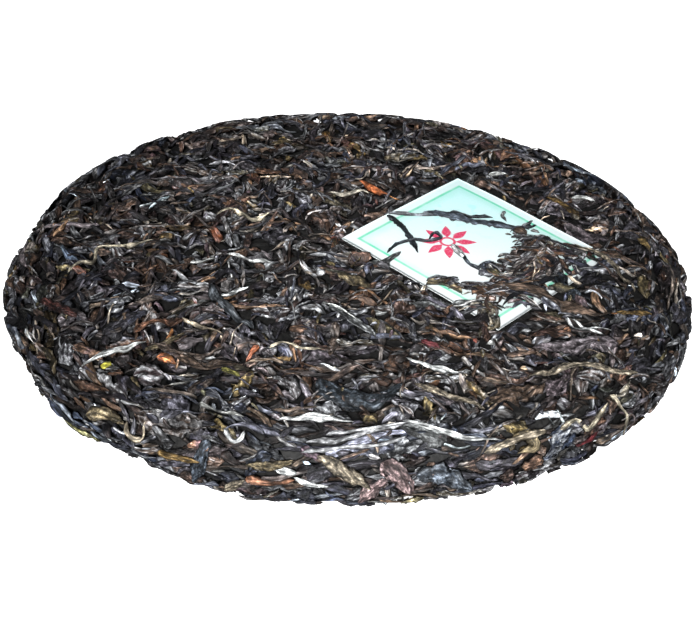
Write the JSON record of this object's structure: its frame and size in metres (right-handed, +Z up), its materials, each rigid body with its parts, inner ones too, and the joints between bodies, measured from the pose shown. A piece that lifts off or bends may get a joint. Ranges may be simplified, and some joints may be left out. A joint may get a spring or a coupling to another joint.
{
  "type": "pressed tea cake",
  "caption": "Round flat cake of compressed raw pu erh tea leaves with rounded rim, a dent under its centre and a paper ticket half buried in its face.",
  "frame": {"origin": "centre of the base, on the plane that the cake rests on", "axes": "+Z up through the middle of the face, -Y towards the front, where the picture was taken from"},
  "size_m": [0.2003, 0.1987, 0.0229],
  "materials": {
    "pressed_leaves": "satin",
    "ticket_paper": "matte"
  },
  "bodies": {
    "root": {"tea_cake": "pressed_leaves", "ticket": "ticket_paper"}
  },
  "joints": []
}
